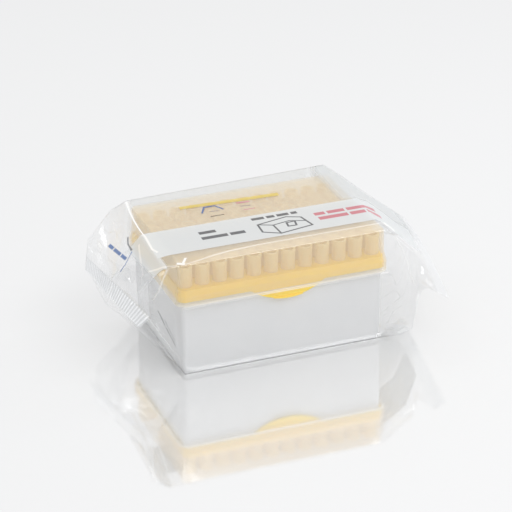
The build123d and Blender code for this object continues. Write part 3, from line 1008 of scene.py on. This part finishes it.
@dataclass
class FilmWrap:
    """The clear film round the box: one flat sheet, lapped along the back and crimped at both ends."""

    clearance: float = 0.2 * MM
    foot_inset: float = 1.81 * MM
    foot_height: float = 3.15 * MM
    ledge_inset: float = 0.81 * MM
    flange_height: float = 5.4 * MM
    lid_taper: float = 1.57 * MM
    lap: float = 10 * MM
    lap_middle: float = 22 * MM
    lap_lead: float = 4 * MM
    lap_climb: float = 3 * MM
    seal_depth: float = 7 * MM
    tooth_height: float = 0.9 * MM
    layer_gap: float = 0.14 * MM
    column_step: float = 1.0 * MM
    slack_start: float = 16 * MM
    slack_left: Vector = field(default_factory=lambda: millimetres(0, 4.6, 1.0))
    slack_right: Vector = field(default_factory=lambda: millimetres(0, 6.2, 2.4))
    ridge_foot: float = 24 * MM
    ridge_setback: float = 5.5 * MM
    ridge_height: float = 1.9 * MM
    body_rows: int = 56
    end_rows: int = 26
    seal_rows: int = 6
    held_share: float = 0.88
    pressed: float = 0.6
    core_gap: float = 0.15 * MM
    floor_gap: float = 0.05 * MM
    settle_scale: float = 10.0
    settle_frames: int = 24
    touch_gap: float = 0.001
    finish: PrintedFilm = field(default_factory=PrintedFilm)

    def __post_init__(self) -> None:
        """Takes the section from the frame."""
        tub_low, tub_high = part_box("base_tub")
        lid_low, lid_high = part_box("lid")
        gap = self.clearance
        corners = [
            (tub_high.x - self.foot_inset, tub_high.y - self.foot_inset, 0.5 * tub_low.z),
            (tub_high.x - self.ledge_inset, tub_high.y - self.ledge_inset, self.foot_height),
            (lid_high.x, lid_high.y, lid_low.z),
            (lid_high.x, lid_high.y, lid_low.z + self.flange_height),
            (lid_high.x - self.lid_taper, lid_high.y - self.lid_taper, lid_high.z + 0.5 * gap),
        ]
        self.corners = [Vector((x + gap, y + gap, z)) for x, y, z in corners]
        self.top = self.corners[-1]
        self.section = self._section()
        self.distances = self._distances()
        self.half_round = self._half_round()

    def _section(self) -> list[Vector]:
        """The section's corners, from the lap's inner edge round the pack to its outer edge.

        Returns:
            The corners; each x is where the box ends there.
        """
        back = self.corners
        front = [Vector((c.x, -c.y, c.z)) for c in back]
        start = self._on_back(self.lap_middle + self.lap / 2)
        end = self._on_back(self.lap_middle - self.lap / 2)
        return [start, back[1], back[0], *front, *reversed(back[2:]), end]

    def _on_back(self, height: float) -> Vector:
        """The point of the back panel at a height, between its ledge and its flange."""
        low, high = self.corners[1], self.corners[2]
        return low.lerp(high, (height - low.z) / (high.z - low.z))

    def _distances(self) -> list[float]:
        """How far round the section each corner is.

        Returns:
            The distances, from the middle of the top panel.
        """
        total = [0.0]
        for a, b in zip(self.section, self.section[1:]):
            total.append(total[-1] + math.hypot(b.y - a.y, b.z - a.z))
        top_front = 2 + len(self.corners)
        middle = total[top_front] + abs(self.section[top_front].y)
        return [distance - middle for distance in total]

    def _half_round(self) -> float:
        """Half of the way round the section."""
        way = self.distances[-1] - self.distances[0] - self.lap
        return way / 2

    def columns(self) -> list[float]:
        """The sheet's columns, with one on every corner.

        Returns:
            Their distances round the section.
        """
        places = []
        for a, b in zip(self.distances, self.distances[1:]):
            count = max(1, round((b - a) / self.column_step))
            places += [a + (b - a) * step / count for step in range(count)]
        return places + [self.distances[-1]]

    def slack(self, distance: float, along: float) -> Vector:
        """How far the loose film stands off the lid, at its back edge and in a ridge near its front edge.

        Args:
            distance: the column's distance round the section.
            along: -1 at the box's left end to 1 at its right end.

        Returns:
            The step away from the section.
        """
        top, flange = self.top.y, self.distances[-2]
        rise = (distance - self.slack_start) / (top - self.slack_start)
        fall = (flange - distance) / (flange - top)
        share = max(min(rise, fall), 0.0)
        crest = top - self.ridge_setback
        climb = (-distance - self.ridge_foot) / (crest - self.ridge_foot)
        drop = (top + distance) / self.ridge_setback
        ridge = max(min(climb, drop), 0.0) * min((along + 1) * 2, 1.0) * self.ridge_height
        loose = self.slack_left.lerp(self.slack_right, (along + 1) / 2)
        return loose * share + Vector((0.0, 0.0, ridge))

    def ring(self, distance: float) -> Vector:
        """The point of the section at a distance round it.

        Args:
            distance: the distance, from the middle of the top panel.

        Returns:
            The point; its x is where the box ends there.
        """
        for index, (a, b) in enumerate(zip(self.distances, self.distances[1:])):
            if distance <= b or index == len(self.distances) - 2:
                share = (distance - a) / (b - a)
                point = self.section[index].lerp(self.section[index + 1], min(max(share, 0.0), 1.0))
                break
        lap_start = self.distances[-1] - self.lap - self.lap_lead
        lifted = min(max((distance - lap_start) / self.lap_climb, 0.0), 1.0)
        return point + Vector((0.0, self.layer_gap * lifted, 0.0))

    def around(self, distance: float) -> float:
        """A distance brought within half a round of the top panel's middle."""
        whole = 2 * self.half_round
        return (distance + self.half_round) % whole - self.half_round

    def strip_place(self, end: SealedEnd, distance: float) -> tuple[float, float]:
        """Where a column lies in an end's strip once the side panels are folded in.

        Args:
            end: the end.
            distance: the column's distance round the section.

        Returns:
            Its share of the way from the strip's front end to its back end, and its layer.
        """
        way = self.around(distance)
        length = end.length()
        quarter = self.half_round / 2
        front_reach = quarter if end.front_reach is None else end.front_reach
        reach = front_reach if way < 0 else length - front_reach
        out = abs(way)
        if out <= reach:
            inward, layer = reach - out, 1.5
        elif out <= quarter:
            inward, layer = out - reach, 0.5
        elif out <= self.half_round - reach:
            inward, layer = self.half_round - reach - out, -0.5
        else:
            inward, layer = out - (self.half_round - reach), -1.5
        share = inward / length
        return (share if way < 0 else 1.0 - share), layer

    def straight(self, end: SealedEnd, distance: float, share: float) -> Vector:
        """A point of the straight way from the box's end to a strip.

        Args:
            end: the end.
            distance: the column's distance round the section.
            share: the share of the way from the box to the strip.

        Returns:
            The point.
        """
        start = self.ring(distance) + self.slack(distance, end.side)
        start.x *= end.side
        place, layer = self.strip_place(end, distance)
        goal = end.centre(place) + end.normal(place) * layer * self.layer_gap
        return start.lerp(goal, share)

    def bows(self, end: SealedEnd) -> list[Bow]:
        """How far the film stands off the straight way at each of an end's ways.

        Args:
            end: the end.

        Returns:
            For each way its distance round the section, and the steps off the straight way near the box
            and far from it.
        """
        top, foot = self.top.y, self.half_round - self.corners[0].y
        quarter, half = self.half_round / 2, self.half_round
        places = [-half, -foot, -quarter, -top, 0.0, top, quarter, foot]
        bows = []
        for place, way in zip(places, end.ways):
            near = far = Vector()
            distance = place if place > self.distances[0] else place + 2 * half
            if place == foot:
                distance = place - 2 * half
            if way.far is not None:
                far = way.far - self.straight(end, distance, end.far_share)
                near = far * (end.near_share / end.far_share)
            if way.near is not None:
                near = way.near - self.straight(end, distance, end.near_share)
            bows.append((place, near, far))
        return bows + [(half, *bows[0][1:])]

    def end_point(self, end: SealedEnd, bows: list[Bow], distance: float, share: float) -> Vector:
        """A point of the film between the box's end and a strip.

        Args:
            end: the end.
            bows: the end's bows.
            distance: the column's distance round the section.
            share: the share of the way from the box to the strip.

        Returns:
            The point.
        """
        around = self.around(distance)
        for (a, near_a, far_a), (b, near_b, far_b) in zip(bows, bows[1:]):
            if around <= b:
                part = (around - a) / (b - a)
                near, far = near_a.lerp(near_b, part), far_a.lerp(far_b, part)
                break
        if share < end.near_share:
            bow = near * (share / end.near_share)
        elif share < end.far_share:
            bow = near.lerp(far, (share - end.near_share) / (end.far_share - end.near_share))
        else:
            bow = far * ((1 - share) / (1 - end.far_share))
        return self.straight(end, distance, share) + bow

    def seal_point(self, end: SealedEnd, distance: float, depth: float) -> Vector:
        """A point of an end's crimped strip.

        Args:
            end: the end.
            distance: the column's distance round the section.
            depth: how far out from the strip's inner edge.

        Returns:
            The point.
        """
        place, layer = self.strip_place(end, distance)
        lift = end.normal(place) * layer * self.layer_gap * self.pressed
        return end.centre(place) + lift + end.outward(place) * depth

    def build(self, left: SealedEnd, right: SealedEnd) -> bpy.types.Object:
        """Folds the flat sheet into the wrap.

        Args:
            left: the end at the lower x.
            right: the end at the higher x.

        Returns:
            The film.
        """
        columns = self.columns()
        rows = self._rows()
        mesh = bpy.data.meshes.new("film")
        film = bpy.data.objects.new("film", mesh)
        bpy.context.scene.collection.objects.link(film)
        sheet = bmesh.new()
        bmesh.ops.create_grid(sheet, x_segments=len(rows) - 1, y_segments=len(columns) - 1, size=0.5)
        flat = sheet.loops.layers.uv.new("flat")
        spots = {}
        for vertex in sheet.verts:
            row = round((vertex.co.x + 0.5) * (len(rows) - 1))
            column = round((vertex.co.y + 0.5) * (len(columns) - 1))
            spots[vertex] = (row, column)
        for face in sheet.faces:
            for loop in face.loops:
                row, column = spots[loop.vert]
                loop[flat].uv = (rows[row][2], columns[column])
        bows = {end.side: self.bows(end) for end in (left, right)}
        for vertex, (row, column) in spots.items():
            end = left if rows[row][0].startswith("left") else right
            vertex.co = self._place(end, bows[end.side], rows[row], columns[column], column)
        for face in sheet.faces:
            face.smooth = True
        held = [self._held(rows[row], columns[column]) for row, column in spots.values()]
        cut = [Vector((rows[row][2], columns[column], 0.0)) for row, column in spots.values()]
        sheet.to_mesh(mesh)
        sheet.free()
        mesh.materials.append(self.finish.build())
        self._settle(film, held, cut)
        return film

    def _held(self, row: Row, distance: float) -> bool:
        """Whether a vertex stays where it was folded while the film settles.

        Args:
            row: the vertex's row.
            distance: its column's distance round the section.

        Returns:
            True on the strips, on the lid and on the panels, apart from their outer ends.
        """
        part, amount, _ = row
        on_top = abs(self.around(distance)) < self.top.y + self.column_step
        return part.endswith("seal") or (part == "body" and (on_top or abs(amount) < self.held_share))

    def _core(self) -> bpy.types.Object:
        """A plain stand-in for the box, a little smaller, that the film settles against.

        Returns:
            The stand-in, which is removed when the film has settled.
        """
        mesh = bpy.data.meshes.new("core")
        core = bpy.data.objects.new("core", mesh)
        bpy.context.scene.collection.objects.link(core)
        hull = bmesh.new()
        for corner in self.corners:
            for side in (-1, 1):
                for face in (-1, 1):
                    reach_x, reach_y = corner.x - self.core_gap, corner.y - self.core_gap
                    place = Vector((side * reach_x, face * reach_y, corner.z))
                    hull.verts.new(place * self.settle_scale)
        bmesh.ops.convex_hull(hull, input=hull.verts)
        hull.to_mesh(mesh)
        hull.free()
        core.modifiers.new("collision", "COLLISION")
        core.collision.thickness_outer = self.touch_gap
        return core

    def _settle(self, film: bpy.types.Object, held: list[bool], cut: list[Vector]) -> None:
        """Lets the film take its own creases, at its flat size, while the strips and the box hold it.

        Args:
            film: the folded sheet.
            held: for each vertex, whether it stays.
            cut: for each vertex, its place in the flat sheet.
        """
        scale = self.settle_scale
        mesh = film.data
        mesh.transform(Matrix.Scale(scale, 4))
        film.shape_key_add(name="folded")
        flat = film.shape_key_add(name="cut")
        for point, place in zip(flat.data, cut):
            point.co = place * scale
        group = film.vertex_groups.new(name="held")
        group.add([index for index, stays in enumerate(held) if stays], 1.0, "REPLACE")
        cloth = film.modifiers.new("cloth", "CLOTH")
        cloth.settings.rest_shape_key = flat
        cloth.settings.vertex_group_mass = "held"
        for name, value in FILM_CLOTH.items():
            setattr(cloth.settings, name, value)
        cloth.settings.effector_weights.gravity = 0.0
        cloth.collision_settings.distance_min = self.touch_gap
        cloth.collision_settings.collision_quality = 3
        cloth.point_cache.frame_start = 1
        cloth.point_cache.frame_end = self.settle_frames
        core = self._core()
        scene = bpy.context.scene
        for frame in range(1, self.settle_frames + 1):
            scene.frame_set(frame)
        evaluated = film.evaluated_get(bpy.context.evaluated_depsgraph_get())
        settled = bpy.data.meshes.new_from_object(evaluated)
        film.modifiers.clear()
        film.shape_key_clear()
        film.data = settled
        settled.name = "film"
        settled.transform(Matrix.Scale(1 / scale, 4))
        for vertex in settled.vertices:
            vertex.co.z = max(vertex.co.z, self.floor_gap)
        bpy.data.objects.remove(core)
        scene.frame_set(1)

    def _rows(self) -> list[Row]:
        """The sheet's rows from one cut edge to the other.

        Returns:
            For each row its part, the share or depth in that part, and its place along the flat sheet.
        """
        body = self.top.x
        rows = []
        for side, names in ((-1, ("left_seal", "left")), (1, ("right_seal", "right"))):
            reach = (self.finish.left_seal if side < 0 else self.finish.right_seal) - body
            part = []
            for step in range(self.seal_rows, 0, -1):
                depth = self.seal_depth * step / self.seal_rows
                part.append((names[0], depth, side * (body + reach + depth)))
            for step in range(self.end_rows, 0, -1):
                share = step / self.end_rows
                part.append((names[1], share, side * (body + reach * share)))
            rows.append(part)
        middle = []
        for step in range(self.body_rows + 1):
            share = 2 * step / self.body_rows - 1
            middle.append(("body", share, share * body))
        return rows[0] + middle + list(reversed(rows[1]))

    def _place(self, end: SealedEnd, bows: list[Bow], row: Row, distance: float, column: int) -> Vector:
        """Where a vertex of the sheet goes.

        Args:
            end: the end that the vertex's row belongs to.
            bows: that end's bows.
            row: the vertex's row.
            distance: its column's distance round the section.
            column: its column's number.

        Returns:
            The folded place.
        """
        part, amount, _ = row
        if part == "body":
            point = self.ring(distance) + self.slack(distance, amount)
            point.x *= amount
            return point
        if part.endswith("seal"):
            depth = amount
            if amount > self.seal_depth - 0.01 * MM:
                depth += self.tooth_height * (0.5 if column % 2 else -0.5)
            return self.seal_point(end, distance, depth)
        return self.end_point(end, bows, distance, amount)

    def flat_size(self) -> tuple[float, float]:
        """The sheet's width round the pack and its length along it, before folding."""
        length = self.finish.left_seal + self.finish.right_seal + 2 * self.seal_depth
        return (self.distances[-1] - self.distances[0], length)


def millimetres(x: float, y: float, z: float) -> Vector:
    """A point or a step given in millimetres."""
    return Vector((x, y, z)) * MM


def left_end() -> SealedEnd:
    """The end whose strip hangs down, with both side panels folded in.

    Returns:
        The left end.
    """
    return SealedEnd(
        side=-1,
        front=Station(millimetres(-68.5, -34.0, 34.0), 35.0),
        middle=Station(millimetres(-75.5, 2.0, 38.0), 68.0),
        back=Station(millimetres(-79.5, 34.0, 38.5), 82.0),
        front_reach=34.2 * MM,
        ways=(
            Way(far=millimetres(-80.5, 0, 27)),
            Way(),
            Way(),
            Way(millimetres(-62.5, -38, 61), millimetres(-71.5, -37.5, 56)),
            Way(millimetres(-60.3, 0, 61), millimetres(-71.5, 1, 48)),
            Way(millimetres(-64, 40.5, 59), millimetres(-78, 36, 46.5)),
            Way(),
            Way(far=millimetres(-77.5, 34, 25)),
        ),
    )


def right_end() -> SealedEnd:
    """The end whose back panel is folded in, and whose front corner stands out to a point.

    Returns:
        The right end.
    """
    return SealedEnd(
        side=1,
        front=Station(millimetres(73.1, -60.1, 33.3), 35.0),
        middle=Station(millimetres(83.5, -12.8, 35.5), 35.0),
        back=Station(millimetres(92.0, 35.0, 34.0), 35.0),
        front_reach=None,
        ways=(
            Way(far=millimetres(75, -8, 15)),
            Way(millimetres(61, -40.5, 1.5), millimetres(68, -42.5, 6)),
            Way(millimetres(62, -39.6, 36), millimetres(68.5, -42, 32.3)),
            Way(far=millimetres(69, -42, 47)),
            Way(millimetres(62, 0, 58.5), millimetres(77, -5, 45)),
            Way(millimetres(63, 41, 57.5), millimetres(80, 37, 43)),
            Way(),
            Way(),
        ),
    )


def write_sizes(solids: object, dressed: object) -> None:
    """Turns both boxes into plain lists, which are not stored.

    Args:
        solids: the box straight after loading.
        dressed: the box once everything is dressed.
    """
    boxes = {"cad": plain(solids), "visual": plain(dressed)}


def plain(value: object) -> object:
    """A box as plain lists of numbers."""
    return float(value) if isinstance(value, (int, float)) else [plain(part) for part in value]


def main() -> None:
    """Builds the looks in order."""
    logging.basicConfig(level=logging.INFO, format="%(message)s")
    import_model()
    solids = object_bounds()
    rack = TipRack()
    rack.dress()
    wrap = FilmWrap()
    film = wrap.build(left_end(), right_end())
    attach(film, ROOT)
    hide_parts("film_wrap")
    wrap.flat_size()
    LOG.info("folded %s, flat size %.0f x %.0f mm", film.name, *(side / MM for side in wrap.flat_size()))
    Studio().build()
    write_sizes(solids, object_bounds())


if __name__ == "__main__":
    main()
